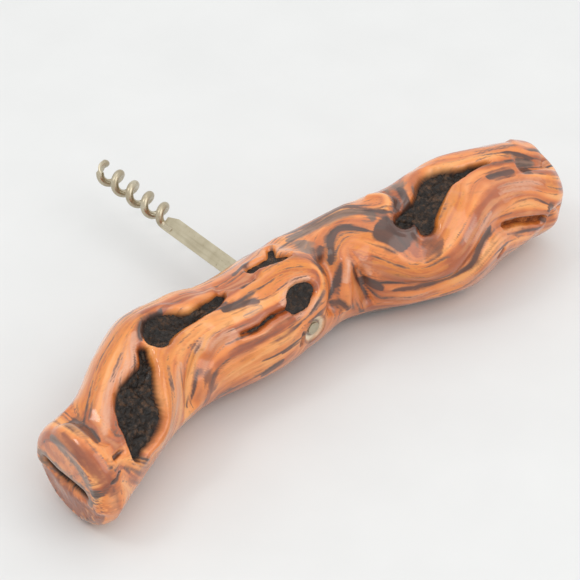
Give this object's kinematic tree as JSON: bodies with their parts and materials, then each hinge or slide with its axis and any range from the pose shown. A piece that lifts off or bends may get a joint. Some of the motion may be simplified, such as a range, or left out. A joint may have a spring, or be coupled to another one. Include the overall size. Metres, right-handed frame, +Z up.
{
  "type": "waiters corkscrew",
  "caption": "Direct-pull corkscrew: gnarled lacquered root-wood cross handle with bark-filled hollows, flat steel shank and plain wire worm.",
  "frame": {"origin": "middle of the bounding box, on the plane the handle rests on", "axes": "+X along the handle, +Y along the worm towards its point, +Z up as it lies on its side"},
  "size_m": [0.2072, 0.1315, 0.0403],
  "materials": {
    "lacquered_wood": "clear gloss lacquer over orange-brown root wood with dark mineral streaks",
    "bark": "rough near-black old bark, varnish caught in its pits",
    "soft_wood": "rough reddish-brown soft wood",
    "steel": "warm nickel-plated steel, worn",
    "resin": "clear amber adhesive"
  },
  "bodies": {
    "root": {"handle": "lacquered_wood", "bark_lower_left": "bark", "bark_upper_left": "bark", "bark_back": "bark", "bark_knot": "bark", "bark_slit": "bark", "bark_right": "bark", "bark_end_split": "bark", "punk_end_slot": "soft_wood", "shank": "steel", "worm": "steel", "tang_resin": "resin"}
  },
  "joints": []
}
